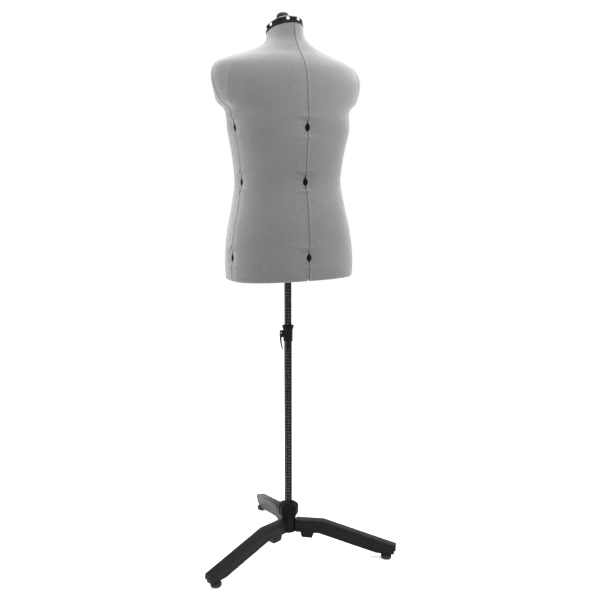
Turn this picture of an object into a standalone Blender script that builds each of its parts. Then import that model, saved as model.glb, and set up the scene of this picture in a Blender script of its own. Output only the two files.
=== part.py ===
"""Adjustable male dress form on a three-legged stand.

The frame is +Z up with the floor at z = 0. The form faces -Y and its left side is +X.
The stand's pole is the vertical line through POLE, and the bounding box is centred on the origin.
Lengths are in metres.
"""

import math
from collections import namedtuple

import bmesh
import bpy
from mathutils import Matrix, Vector

MM = 0.001
POLE = Vector((-0.02725, 0.05695, 0.0))
GAP = 0.3 * MM

# Torso skin, row by row from the hem to the neck. Each row is a level ring made of quarter ovals.
# side, back and front are heights. half_width is at the side seam, which stands at side_y.
# back_y and front_y are the centre seams, and the two powers set how square each half is.
# A level is a row's index, and a fractional level lies between two rows.
Section = namedtuple(
    "Section", "side back front half_width side_y back_y front_y back_power front_power"
)
SECTIONS = [
    Section(0.897, 0.898, 0.897, 0.1960, 0.025, 0.134, -0.135, 2.4, 2.6),
    Section(0.930, 0.930, 0.930, 0.1975, 0.026, 0.138, -0.139, 2.4, 2.6),
    Section(0.970, 0.970, 0.970, 0.1970, 0.026, 0.139, -0.140, 2.4, 2.6),
    Section(1.045, 1.045, 1.045, 0.1880, 0.022, 0.136, -0.138, 2.4, 2.6),
    Section(1.120, 1.120, 1.120, 0.1705, 0.017, 0.127, -0.134, 2.4, 2.6),
    Section(1.190, 1.190, 1.190, 0.1600, 0.015, 0.115, -0.131, 2.4, 2.6),
    Section(1.265, 1.265, 1.265, 0.1675, 0.020, 0.121, -0.134, 2.4, 2.6),
    Section(1.345, 1.345, 1.345, 0.1840, 0.025, 0.128, -0.134, 2.4, 2.6),
    Section(1.396, 1.396, 1.396, 0.1895, 0.010, 0.129, -0.130, 2.3, 2.4),
    Section(1.427, 1.427, 1.427, 0.2190, 0.003, 0.127, -0.122, 2.2, 2.2),
    Section(1.485, 1.481, 1.477, 0.2380, -0.002, 0.121, -0.107, 2.2, 1.9),
    Section(1.524, 1.520, 1.512, 0.2280, -0.004, 0.110, -0.097, 2.1, 1.8),
    Section(1.543, 1.545, 1.530, 0.1900, -0.006, 0.094, -0.088, 2.0, 1.8),
    Section(1.559, 1.562, 1.546, 0.1420, -0.008, 0.077, -0.082, 1.9, 2.0),
    Section(1.575, 1.582, 1.561, 0.0950, -0.010, 0.062, -0.078, 2.0, 2.0),
    Section(1.600, 1.608, 1.585, 0.0600, -0.012, 0.047, -0.076, 2.0, 2.0),
    Section(1.630, 1.648, 1.612, 0.0515, -0.017, 0.0405, -0.074, 2.0, 2.0),
    Section(1.647, 1.665, 1.629, 0.0505, -0.0215, 0.0355, -0.079, 2.0, 2.0),
]
HIP_ROW, WAIST_ROW, CHEST_ROW = 2, 5, 7
BAND_ROW = len(SECTIONS) - 2
TOP_ROW = len(SECTIONS) - 1
SEAM_HALF = 1.25 * MM
FABRIC = 2.0 * MM
SHELL = 3.0 * MM
SHELL_INSET = FABRIC + 0.8 * MM
BAND_LIFT = 0.8 * MM
SHELL_START = 0.3
CHEST_TOP_ROW = 9
COLUMNS = 7
CROWDING = 1.25

# Each panel is one quarter of the torso: its side (+1 left) and its end (+1 back).
PANELS = {
    "left_back": (1, 1),
    "right_back": (-1, 1),
    "left_front": (1, -1),
    "right_front": (-1, -1),
}

# Thumbwheel adjusters. The wheel stands in the seam, with its screw square to the seam.
WHEEL_RADIUS = 13.5 * MM
WHEEL_HALF = 2.0 * MM
WHEEL_DEPTH = 13.3 * MM
AXLE_RADIUS = 2.5 * MM
AXLE_END = 11.0 * MM
SCREW_RADIUS = 2.5 * MM
SCREW_END = 48.0 * MM
WHEEL_STEPS = 12
BOSS_NEAR, BOSS_FAR = 4.5 * MM, 11.5 * MM
BOSS_TOP, BOSS_BOTTOM, BOSS_HALF = -4.8 * MM, -21.0 * MM, 8.0 * MM
HOLE_PLAY = 0.5 * MM
FABRIC_OPENING = (13.5 * MM, 24.5 * MM)
SHELL_OPENING = (17.0 * MM, 34.0 * MM)
OPENING_REACH = 14.0 * MM
ROW_NAMES = {"chest": CHEST_ROW, "waist": WAIST_ROW, "hip": HIP_ROW}
# Seam name: the panel that carries the wheels, the panel that holds the nuts.
SEAMS = {
    "centre_back": ("left_back", "right_back"),
    "centre_front": ("left_front", "right_front"),
    "left_side": ("left_back", "left_front"),
    "right_side": ("right_back", "right_front"),
}

# Neck cap and knob, on an axis that leans forward with the neck.
NECK_LEAN = math.atan(0.30)
NECK_CENTRE = Vector((0.0, -0.0218, 1.647))
CAP_RADIUS = 43.5 * MM
CAP_STRETCH = 1.20
CAP_HEIGHT = 25.0 * MM
KNOB_RADIUS = 19.5 * MM
KNOB_HEIGHT = 10.5 * MM
KNOB_SHAFT = 4.0 * MM
KNOB_STEPS, CAP_STEPS = 20, 24
CAP_WALL, CAP_SKIRT, SLEEVE_END, SHAFT_END = 2.5 * MM, -10 * MM, -32 * MM, -28 * MM

# Carriers inside the torso: a hub on the pole with four slide arms on the diagonals.
ARM = 10.0 * MM
SOCKET = 16.0 * MM
SOCKET_HOLE = 10.8 * MM
UPPER_ARM_Z, UPPER_ARM_END, UPPER_SOCKET = 1.455, 0.118, (0.080, 0.126)
LOWER_ARM_Z, LOWER_ARM_END, LOWER_SOCKET = 1.085, 0.140, (0.098, 0.146)
CARRIER_RADIUS = 20.0 * MM
POST_RADIUS = 9.0 * MM
POST_TOP = 1.6135

# Telescopic pole.
LOWER_RADIUS, LOWER_BORE = 12.0 * MM, 11.3 * MM
UPPER_RADIUS, UPPER_BORE = 11.0 * MM, 9.8 * MM
LOWER_BOTTOM, LOWER_TOP = 0.0675, 0.731
UPPER_BOTTOM, UPPER_TOP = 0.460, 1.475
POLE_STEPS = 24

# Flip-lever clamp at the top of the lower tube.
CLAMP_BOTTOM, CLAMP_TOP = 0.695, 0.745
CLAMP_RADIUS = 14.6 * MM
LEVER_ANGLE = math.radians(-27.0)
PIN_REACH, PIN_Z, PIN_RADIUS = 21.0 * MM, 0.722, 2.0 * MM
LEVER_HALF, LEVER_HEAD = 3.5 * MM, 5.4 * MM
# The blade's outline in mm, out from the pin and up from it.
LEVER_BLADE = [(-2.5, -9), (-0.5, -22), (-2.2, -40), (-5, -53), (-3.6, -56), (0.6, -45), (4.4, -26)]
EAR_NEAR, EAR_FAR = 4.2 * MM, 6.8 * MM
PIN_HALF, PIN_PLAY = 8.5 * MM, 0.4 * MM

# Base.
LEG_ANGLES = [math.radians(a) for a in (20.4, 140.4, 260.4)]
HUB_RADIUS, HUB_BOTTOM, HUB_TOP = 24.0 * MM, 0.063, 0.116
NECK_RADIUS, NECK_TOP = 19.0 * MM, 0.150
NUT_BOTTOM, NUT_TOP, NUT_RADIUS, NUT_WAVE, NUT_LOBES = 0.1175, 0.160, 29.0 * MM, 2.0 * MM, 8
FOOT_REACH = 0.320
# Leg outlines in mm, outwards from the pole and up from the floor, each with its half thickness.
LEG_FLANGE = [(24.6, 106), (116, 108), (350, 46), (351, 29.5), (114, 91), (24.6, 89)], 14
LEG_WEB = [(24.6, 100), (116, 102), (346, 41), (346, 18), (288, 18), (103, 66), (24.6, 64)], 12
LEG_BOSS = [(40, 72), (46, 47.5), (80, 47.5), (89, 72)], 11
LUG_LENGTH, LUG_HALF, LUG_PLAY = 0.068, 6.0 * MM, 0.4 * MM
LUG_BOTTOM, LUG_TOP = 0.0700, 0.0960
LEG_SCREW_REACH, LEG_SCREW_RADIUS, LEG_SCREW_HEAD, SCREW_SEAT = 0.060, 2.4 * MM, 5.2 * MM, 0.053
FOOT_STUD, FOOT_STUD_TOP = 4.0 * MM, 0.030
FOOT_PROFILE = [
    (0.0, FOOT_STUD_TOP),
    (FOOT_STUD, FOOT_STUD_TOP),
    (FOOT_STUD, 0.0176),
    (10.0 * MM, 0.0176),
    (10.0 * MM, 0.0145),
    (15.5 * MM, 0.013),
    (17.0 * MM, 0.010),
    (17.0 * MM, 0.003),
    (15.0 * MM, 0.0),
    (0.0, 0.0),
]
FOOT_STEPS, SMALL_STEPS = 16, 12

# Looks: colour, roughness, metallic.
GREY_FABRIC = ((0.230, 0.235, 0.240), 0.9, 0.0)
BLACK_PLASTIC = ((0.018, 0.018, 0.020), 0.45, 0.0)
SHELL_PLASTIC = ((0.060, 0.060, 0.065), 0.6, 0.0)
NECK_PLASTIC = ((0.090, 0.090, 0.095), 0.45, 0.0)
POLE_BLACK = ((0.020, 0.020, 0.022), 0.35, 0.0)
CARRIER_METAL = ((0.350, 0.350, 0.360), 0.45, 0.6)
STEEL = ((0.620, 0.620, 0.630), 0.35, 0.9)
RUBBER = ((0.012, 0.012, 0.012), 0.8, 0.0)


def remove_everything():
    for item in list(bpy.data.objects):
        bpy.data.objects.remove(item, do_unlink=True)


def new_collection(name, hidden=False):
    made = bpy.data.collections.new(name)
    bpy.context.scene.collection.children.link(made)
    made.hide_render = hidden
    return made


def new_material(name, colour, roughness, metallic=0.0):
    made = bpy.data.materials.new(name)
    made.use_nodes = True
    shader = made.node_tree.nodes["Principled BSDF"]
    shader.inputs["Base Color"].default_value = (*colour, 1.0)
    shader.inputs["Roughness"].default_value = roughness
    shader.inputs["Metallic"].default_value = metallic
    return made


def new_empty(name, parent=None, location=(0, 0, 0)):
    made = bpy.data.objects.new(name, None)
    parts.objects.link(made)
    made.parent = parent
    made.location = location
    return made


def new_piece(name, mesh, look, parent, location=(0, 0, 0), matrix=None):
    """A named sub-part with its own material, placed under its parent."""
    made = bpy.data.objects.new(name, mesh)
    parts.objects.link(made)
    mesh.materials.clear()
    colour, roughness, metallic = look
    mesh.materials.append(new_material(name, colour, roughness, metallic))
    made.parent = parent
    made.location = location
    if matrix is not None:
        made.matrix_local = matrix
    return made


def new_cutter(mesh, parent, matrix=None):
    made = bpy.data.objects.new("cutter", mesh)
    cutters.objects.link(made)
    made.parent = parent
    if matrix is not None:
        made.matrix_local = matrix
    made.hide_render = True
    made.display_type = "WIRE"
    return made


def combine(piece, other, operation):
    step = piece.modifiers.new(operation.lower(), "BOOLEAN")
    step.operation = operation
    step.solver = "EXACT"
    step.object = other


def mesh_from(build, name="shape"):
    mesh = bpy.data.meshes.new(name)
    shape = bmesh.new()
    build(shape)
    shape.to_mesh(mesh)
    shape.free()
    return mesh


def add_box(shape, low, high, turn=0.0):
    """A box between two corners, turned about the vertical through the origin."""
    size = Vector(high) - Vector(low)
    middle = (Vector(high) + Vector(low)) / 2
    place = Matrix.Rotation(turn, 4, "Z") @ Matrix.Translation(middle) @ Matrix.Diagonal((*size, 1.0))
    bmesh.ops.create_cube(shape, size=1.0, matrix=place)


def add_rod(shape, radius, start, end, segments=12):
    """A cylinder between two points."""
    start, end = Vector(start), Vector(end)
    along = (end - start).normalized()
    turn = Vector((0, 0, 1)).rotation_difference(along).to_matrix().to_4x4()
    place = Matrix.Translation((start + end) / 2) @ turn
    bmesh.ops.create_cone(
        shape,
        cap_ends=True,
        segments=segments,
        radius1=radius,
        radius2=radius,
        depth=(end - start).length,
        matrix=place,
    )


def box_mesh(low, high, turn=0.0):
    return mesh_from(lambda shape: add_box(shape, low, high, turn))


def rod_mesh(radius, start, end, segments=12):
    return mesh_from(lambda shape: add_rod(shape, radius, start, end, segments))


def turned(name, profile, steps, look, parent, location=(0, 0, 0), matrix=None, closed=False):
    """A profile of (radius, height) points, turned about its own Z axis.

    The profile runs down the outer side, and up the bore if there is one.
    """
    mesh = bpy.data.meshes.new(name)
    ends = [(i, i + 1) for i in range(len(profile) - 1)]
    if closed:
        ends.append((len(profile) - 1, 0))
    mesh.from_pydata([(radius, 0.0, height) for radius, height in profile], ends, [])
    piece = new_piece(name, mesh, look, parent, location, matrix)
    turn = piece.modifiers.new("turn", "SCREW")
    turn.steps = steps
    turn.render_steps = steps
    turn.use_merge_vertices = True
    turn.merge_threshold = 0.00001
    return piece


def plate_mesh(outline, half_thickness):
    """A flat outline in XY, given a thickness along Z."""
    curve = bpy.data.curves.new("outline", "CURVE")
    curve.dimensions = "2D"
    curve.fill_mode = "BOTH"
    curve.extrude = half_thickness
    spline = curve.splines.new("POLY")
    spline.points.add(len(outline) - 1)
    for point, (x, y) in zip(spline.points, outline):
        point.co = (x, y, 0.0, 1.0)
    spline.use_cyclic_u = True
    holder = bpy.data.objects.new("outline", curve)
    bpy.context.scene.collection.objects.link(holder)
    ready = holder.evaluated_get(bpy.context.evaluated_depsgraph_get())
    mesh = bpy.data.meshes.new_from_object(ready)
    bpy.data.objects.remove(holder, do_unlink=True)
    shape = bmesh.new()
    shape.from_mesh(mesh)
    bmesh.ops.remove_doubles(shape, verts=shape.verts, dist=0.00001)
    bmesh.ops.recalc_face_normals(shape, faces=shape.faces)
    shape.to_mesh(mesh)
    shape.free()
    return mesh


def upright(turn):
    """Stands a plate's XY outline up in the vertical plane at an angle: X outwards, Y up."""
    return Matrix.Rotation(turn, 4, "Z") @ Matrix.Rotation(math.radians(90), 4, "X")


def smooth_between(rows, level):
    """A Catmull-Rom curve through the rows of numbers, read at a fractional row."""
    start = min(int(level), len(rows) - 2)
    part = level - start
    before, near = rows[max(start - 1, 0)], rows[start]
    far, after = rows[start + 1], rows[min(start + 2, len(rows) - 1)]
    return [
        0.5 * (2 * q + (r - p) * part + (2 * p - 5 * q + 4 * r - s) * part**2
               + (3 * q - p - 3 * r + s) * part**3)
        for p, q, r, s in zip(before, near, far, after)
    ]


def skin_point(level, turn, side, end):
    """A point of the torso's skin. turn is 0 at the side seam and 90 degrees at the centre seam."""
    row = Section(*smooth_between(SECTIONS, level))
    if end > 0:
        height, depth, power = row.back, row.back_y, row.back_power
    else:
        height, depth, power = row.front, row.front_y, row.front_power
    across = abs(math.cos(turn)) ** (2 / power)
    along = abs(math.sin(turn)) ** (2 / power)
    return Vector(
        (
            side * (SEAM_HALF + row.half_width * across),
            row.side_y + end * SEAM_HALF + (depth - row.side_y) * along,
            row.side + (height - row.side) * along,
        )
    )


def raised_point(level, turn, side, end, lift):
    """The skin moved along its own outward normal by lift."""
    step = 0.001
    quarter = math.pi / 2
    lower = skin_point(max(level - step, 0), turn, side, end)
    upper = skin_point(min(level + step, TOP_ROW), turn, side, end)
    before = skin_point(level, max(turn - step, 0), side, end)
    after = skin_point(level, min(turn + step, quarter), side, end)
    normal = (after - before).cross(upper - lower).normalized() * side * end
    return skin_point(level, turn, side, end) + normal * lift


def panel_sheet(side, end, first, last, lift):
    """An open sheet over one quarter of the torso, between two rows, with its faces outwards."""
    halves = [n / 2 for n in range(2 * TOP_ROW + 1)]
    levels = [n for n in halves if first < n < last and (n < CHEST_TOP_ROW or n == int(n))]
    turns = [math.pi / 2 * (j / COLUMNS) ** CROWDING for j in range(COLUMNS + 1)]
    shape = bmesh.new()
    grid = []
    for level in [first, *levels, last]:
        points = [raised_point(level, turn, side, end, lift) for turn in turns]
        grid.append([shape.verts.new(point) for point in points])
    for low, high in zip(grid, grid[1:]):
        for j in range(COLUMNS):
            corners = [low[j], low[j + 1], high[j + 1], high[j]]
            if side * end < 0:
                corners.reverse()
            shape.faces.new(corners)
    mesh = bpy.data.meshes.new("sheet")
    shape.to_mesh(mesh)
    shape.free()
    return mesh


def thicken(piece, thickness):
    """Gives an open sheet a thickness on its inner side."""
    step = piece.modifiers.new("thickness", "SOLIDIFY")
    step.thickness = thickness
    step.offset = -1.0
    step.use_even_offset = True


def wheel_frame(seam, row):
    """An adjuster's own axes: Z along the screw towards its axle, X outwards from the torso."""
    section = SECTIONS[row]
    if seam == "centre_back":
        at, out, along = (0, section.back_y, section.back), (0, 1, 0), (1, 0, 0)
    elif seam == "centre_front":
        at, out, along = (0, section.front_y, section.front), (0, -1, 0), (1, 0, 0)
    else:
        side = 1 if seam == "left_side" else -1
        reach = side * (section.half_width + SEAM_HALF)
        at, out, along = (reach, section.side_y, section.side), (side, 0, 0), (0, 1, 0)
    out, along = Vector(out), Vector(along)
    turn = Matrix((out, along.cross(out), along)).transposed().to_4x4()
    return Matrix.Translation(Vector(at) - out * WHEEL_DEPTH) @ turn


def pointed_oval(width, height, steps=6):
    """Two shallow arcs that meet in a point at the top and bottom."""
    fractions = [2 * i / steps - 1 for i in range(steps + 1)]
    right = [(width / 2 * (1 - f * f), height / 2 * f) for f in fractions]
    left = [(-x, y) for x, y in reversed(right[1:-1])]
    return right + left


def seam_openings(opening):
    """A cutter with a pointed oval at every adjuster, through the torso's wall."""
    width, height = opening
    outline = pointed_oval(width, height)
    plate = plate_mesh(outline, OPENING_REACH)
    shape = bmesh.new()
    for seam in SEAMS:
        for row in ROW_NAMES.values():
            frame = wheel_frame(seam, row)
            out, up, along = frame.col[0].xyz, Vector((0, 0, 1)), frame.col[2].xyz
            middle = frame.translation + out * (WHEEL_DEPTH + 3.0 * MM)
            turn = Matrix((along, up, along.cross(up))).transposed().to_4x4()
            place = Matrix.Translation(middle) @ turn
            plate.transform(place)
            shape.from_mesh(plate)
            plate.transform(place.inverted())
    mesh = bpy.data.meshes.new("seam_openings")
    shape.to_mesh(mesh)
    shape.free()
    return mesh


def panel_bosses(panel):
    """The blocks inside a shell that carry its wheels' axles or hold its nuts, and their bores."""
    blocks, bores = bmesh.new(), bmesh.new()
    for seam, (wheel_panel, nut_panel) in SEAMS.items():
        if panel not in (wheel_panel, nut_panel):
            continue
        along = 1 if panel == wheel_panel else -1
        bore = HOLE_PLAY + (AXLE_RADIUS if along > 0 else SCREW_RADIUS)
        for row in ROW_NAMES.values():
            frame = wheel_frame(seam, row)
            near, far = sorted((along * BOSS_NEAR, along * BOSS_FAR))
            block, hole = bmesh.new(), bmesh.new()
            low = (WHEEL_DEPTH + BOSS_BOTTOM, -BOSS_HALF, near)
            high = (WHEEL_DEPTH + BOSS_TOP, BOSS_HALF, far)
            add_box(block, low, high)
            add_rod(hole, bore, (0, 0, near - BOSS_NEAR / 2), (0, 0, far + BOSS_NEAR / 2), 8)
            for source, target in ((block, blocks), (hole, bores)):
                source.transform(frame)
                held = bpy.data.meshes.new("held")
                source.to_mesh(held)
                target.from_mesh(held)
                bpy.data.meshes.remove(held)
                source.free()
    meshes = []
    for shape in (blocks, bores):
        mesh = bpy.data.meshes.new("bosses")
        shape.to_mesh(mesh)
        shape.free()
        meshes.append(mesh)
    return meshes


def make_panel(name, side, end, parent, fabric_cutter, shell_cutter):
    """A moulded shell, its fabric cover and its segment of the neck band."""
    shell = new_piece(
        f"shell_{name}",
        panel_sheet(side, end, SHELL_START, TOP_ROW, -SHELL_INSET),
        SHELL_PLASTIC,
        parent,
    )
    thicken(shell, SHELL)
    blocks, bores = panel_bosses(name)
    combine(shell, new_cutter(blocks, parent), "UNION")
    combine(shell, new_cutter(bores, parent), "DIFFERENCE")
    combine(shell, shell_cutter, "DIFFERENCE")
    cover = new_piece(
        f"cover_{name}",
        panel_sheet(side, end, 0, BAND_ROW - 0.02, 0.0),
        GREY_FABRIC,
        parent,
    )
    thicken(cover, FABRIC)
    combine(cover, fabric_cutter, "DIFFERENCE")
    band = new_piece(
        f"neck_band_{name}",
        panel_sheet(side, end, BAND_ROW, TOP_ROW, BAND_LIFT),
        BLACK_PLASTIC,
        parent,
    )
    thicken(band, BAND_LIFT + FABRIC)


def make_slide_socket(name, side, end, reach, height, parent):
    """A square tube that carries a panel along its carrier's diagonal arm."""
    start, stop = reach
    angle = math.atan2(end, side)
    half, hole = SOCKET / 2, SOCKET_HOLE / 2
    body = box_mesh((start, -half, height - half), (stop, half, height + half), angle)
    piece = new_piece(name, body, SHELL_PLASTIC, parent)
    bore = box_mesh((start - 0.01, -hole, height - hole), (stop + 0.01, hole, height + hole), angle)
    combine(piece, new_cutter(bore, parent), "DIFFERENCE")


def make_wheels():
    """Twelve thumbwheels, each with its axle stub and its screw in one turned piece."""
    profile = [
        (0.0, AXLE_END),
        (AXLE_RADIUS, AXLE_END),
        (AXLE_RADIUS, WHEEL_HALF),
        (WHEEL_RADIUS, WHEEL_HALF),
        (WHEEL_RADIUS, -WHEEL_HALF),
        (SCREW_RADIUS, -WHEEL_HALF),
        (SCREW_RADIUS, -SCREW_END),
        (0.0, -SCREW_END),
    ]
    for seam, (wheel_panel, _) in SEAMS.items():
        for row_name, row in ROW_NAMES.items():
            turned(
                f"wheel_{row_name}_{seam}",
                profile,
                WHEEL_STEPS,
                BLACK_PLASTIC,
                panel_frames[wheel_panel],
                matrix=wheel_frame(seam, row),
            )


def arms_mesh(height, reach):
    shape = bmesh.new()
    for side, end in PANELS.values():
        angle = math.atan2(end, side)
        low = (CARRIER_RADIUS - 5 * MM, -ARM / 2, height - ARM / 2)
        add_box(shape, low, (reach, ARM / 2, height + ARM / 2), angle)
    mesh = bpy.data.meshes.new("arms")
    shape.to_mesh(mesh)
    shape.free()
    return mesh


def make_carriers(parent):
    """The two spiders inside the torso and the post that holds the neck cap."""
    bore = UPPER_RADIUS + GAP
    low, high = UPPER_ARM_Z - 22 * MM, UPPER_ARM_Z + 28 * MM
    profile = [
        (0.0, POST_TOP),
        (POST_RADIUS, POST_TOP),
        (POST_RADIUS, high),
        (CARRIER_RADIUS, high),
        (CARRIER_RADIUS, low),
        (bore, low),
        (bore, UPPER_TOP + 0.5 * MM),
        (0.0, UPPER_TOP + 0.5 * MM),
    ]
    upper = turned("upper_carrier", profile, POLE_STEPS, CARRIER_METAL, parent)
    combine(upper, new_cutter(arms_mesh(UPPER_ARM_Z, UPPER_ARM_END), parent), "UNION")
    low, high = LOWER_ARM_Z - 20 * MM, LOWER_ARM_Z + 20 * MM
    ring = [(CARRIER_RADIUS, high), (CARRIER_RADIUS, low), (bore, low), (bore, high)]
    lower = turned("lower_carrier", ring, POLE_STEPS, CARRIER_METAL, parent, closed=True)
    combine(lower, new_cutter(arms_mesh(LOWER_ARM_Z, LOWER_ARM_END), parent), "UNION")


def dome_arc(radius, height, steps, hole):
    """Points of a shallow dome from its centre hole out to its rim at height 0."""
    ball = (radius**2 + height**2) / (2 * height)
    reach = math.asin(radius / ball)
    start = math.asin(hole / ball)
    angles = [start + (reach - start) * i / steps for i in range(steps + 1)]
    return [(ball * math.sin(a), height - ball * (1 - math.cos(a))) for a in angles]


def make_neck(parent):
    """The neck cap in the neck's opening, and the knob on top that works the panels."""
    lean = Matrix.Translation(NECK_CENTRE) @ Matrix.Rotation(NECK_LEAN, 4, "X")
    sleeve = KNOB_SHAFT + 4.0 * MM
    bore = KNOB_SHAFT + 0.5 * MM
    outer = dome_arc(CAP_RADIUS, CAP_HEIGHT, 4, bore)
    inner = dome_arc(CAP_RADIUS - CAP_WALL, CAP_HEIGHT - CAP_WALL, 4, sleeve)
    skirt = [(CAP_RADIUS, CAP_SKIRT), (CAP_RADIUS - CAP_WALL, CAP_SKIRT)]
    post = [(sleeve, SLEEVE_END), (bore, SLEEVE_END)]
    profile = outer + skirt + inner[::-1] + post
    stretch = Matrix.Diagonal((1.0, CAP_STRETCH, 1.0, 1.0))
    turned(
        "neck_cap",
        profile,
        CAP_STEPS,
        NECK_PLASTIC,
        parent,
        matrix=lean @ stretch,
        closed=True,
    )
    foot = CAP_HEIGHT + GAP
    knob = [
        (0.0, foot + KNOB_HEIGHT),
        (KNOB_RADIUS - 4 * MM, foot + KNOB_HEIGHT),
        (KNOB_RADIUS - 3 * MM, foot + KNOB_HEIGHT - 1 * MM),
        (KNOB_RADIUS, foot + 2.5 * MM),
        (KNOB_RADIUS, foot),
        (KNOB_SHAFT, foot),
        (KNOB_SHAFT, SHAFT_END),
        (0.0, SHAFT_END),
    ]
    turned("neck_knob", knob, KNOB_STEPS, NECK_PLASTIC, parent, matrix=lean)


def make_poles(stand, height):
    lower = [
        (LOWER_RADIUS, LOWER_TOP),
        (LOWER_RADIUS, LOWER_BOTTOM),
        (LOWER_BORE, LOWER_BOTTOM),
        (LOWER_BORE, LOWER_TOP),
    ]
    turned("lower_pole", lower, POLE_STEPS, POLE_BLACK, stand, closed=True)
    upper = [
        (UPPER_RADIUS, UPPER_TOP),
        (UPPER_RADIUS, UPPER_BOTTOM),
        (UPPER_BORE, UPPER_BOTTOM),
        (UPPER_BORE, UPPER_TOP),
    ]
    turned("upper_pole", upper, POLE_STEPS, POLE_BLACK, height, closed=True)


def make_clamp(parent):
    """A split collar with a flared lip and two ears, and the lever on its pin."""
    inner = LOWER_RADIUS + GAP
    guide = UPPER_RADIUS + GAP
    shelf = LOWER_TOP + 0.8 * MM
    profile = [
        (CLAMP_RADIUS, CLAMP_BOTTOM),
        (inner, CLAMP_BOTTOM),
        (inner, shelf),
        (guide, shelf),
        (guide, shelf + 2.8 * MM),
        (CLAMP_RADIUS - 1.0 * MM, shelf + 2.8 * MM),
        (CLAMP_RADIUS + 2.8 * MM, CLAMP_TOP),
        (CLAMP_RADIUS + 4.0 * MM, CLAMP_TOP - 1.0 * MM),
        (CLAMP_RADIUS, CLAMP_TOP - 17.0 * MM),
    ]
    collar = turned("clamp_collar", profile, POLE_STEPS, BLACK_PLASTIC, parent, closed=True)
    ears = bmesh.new()
    for side in (-1, 1):
        near, far = sorted((side * EAR_NEAR, side * EAR_FAR))
        low = (CLAMP_RADIUS - 1.5 * MM, near, PIN_Z - 14 * MM)
        add_box(ears, low, (PIN_REACH + 4.5 * MM, far, PIN_Z + 6 * MM), LEVER_ANGLE)
    ear_mesh = bpy.data.meshes.new("ears")
    ears.to_mesh(ear_mesh)
    ears.free()
    combine(collar, new_cutter(ear_mesh, parent), "UNION")
    slit = box_mesh((8 * MM, -MM, 0.68), (30 * MM, MM, 0.76), LEVER_ANGLE)
    combine(collar, new_cutter(slit, parent), "DIFFERENCE")
    out = Vector((math.cos(LEVER_ANGLE), math.sin(LEVER_ANGLE), 0))
    across = Vector((-out.y, out.x, 0))
    pivot = out * PIN_REACH + Vector((0, 0, PIN_Z))
    hole = rod_mesh(PIN_RADIUS + PIN_PLAY, pivot - across * 0.01, pivot + across * 0.01)
    combine(collar, new_cutter(hole, parent), "DIFFERENCE")
    pin_frame = Matrix.Translation(pivot) @ Matrix.Rotation(LEVER_ANGLE, 4, "Z")
    pin_frame = pin_frame @ Matrix.Rotation(math.radians(90), 4, "X")
    pin = rod_mesh(PIN_RADIUS, (0, 0, -PIN_HALF), (0, 0, PIN_HALF))
    new_piece("clamp_pin", pin, STEEL, parent, matrix=pin_frame)
    make_lever(parent, pin_frame)


def make_lever(parent, pin_frame):
    """The cam lever: a round head on the pin and a curved blade that hangs beside the pole."""
    arc = [math.radians(a) for a in range(-20, 216, 26)]
    outline = [(LEVER_HEAD * math.cos(a), LEVER_HEAD * math.sin(a)) for a in arc]
    outline += [(out * MM, up * MM) for out, up in LEVER_BLADE]
    plate = plate_mesh(outline, LEVER_HALF)
    lever = new_piece("clamp_lever", plate, BLACK_PLASTIC, parent, matrix=pin_frame)
    hole = rod_mesh(PIN_RADIUS + PIN_PLAY, (0, 0, -0.01), (0, 0, 0.01))
    combine(lever, new_cutter(hole, parent, pin_frame), "DIFFERENCE")


def make_hub(parent):
    """The moulded hub: a socket for the pole, a threaded neck and a lug for each leg."""
    bore = LOWER_RADIUS + GAP
    profile = [
        (0.0, LOWER_BOTTOM - GAP),
        (bore, LOWER_BOTTOM - GAP),
        (bore, NECK_TOP),
        (NECK_RADIUS, NECK_TOP),
        (NECK_RADIUS, HUB_TOP),
        (HUB_RADIUS, HUB_TOP),
        (HUB_RADIUS, HUB_BOTTOM),
        (0.0, HUB_BOTTOM),
    ]
    hub = turned("hub", profile, POLE_STEPS, BLACK_PLASTIC, parent)
    lugs, holes = bmesh.new(), bmesh.new()
    for angle in LEG_ANGLES:
        add_box(lugs, (16 * MM, -LUG_HALF, LUG_BOTTOM), (LUG_LENGTH, LUG_HALF, LUG_TOP), angle)
        x, y = LEG_SCREW_REACH * math.cos(angle), LEG_SCREW_REACH * math.sin(angle)
        add_rod(holes, LEG_SCREW_RADIUS + 0.4 * MM, (x, y, 0.060), (x, y, 0.100))
    meshes = []
    for shape in (lugs, holes):
        mesh = bpy.data.meshes.new("hub_tool")
        shape.to_mesh(mesh)
        shape.free()
        meshes.append(mesh)
    combine(hub, new_cutter(meshes[0], parent), "UNION")
    socket = rod_mesh(bore, (0, 0, LOWER_BOTTOM - GAP), (0, 0, NECK_TOP + 0.01), POLE_STEPS)
    combine(hub, new_cutter(socket, parent), "DIFFERENCE")
    combine(hub, new_cutter(meshes[1], parent), "DIFFERENCE")


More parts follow.
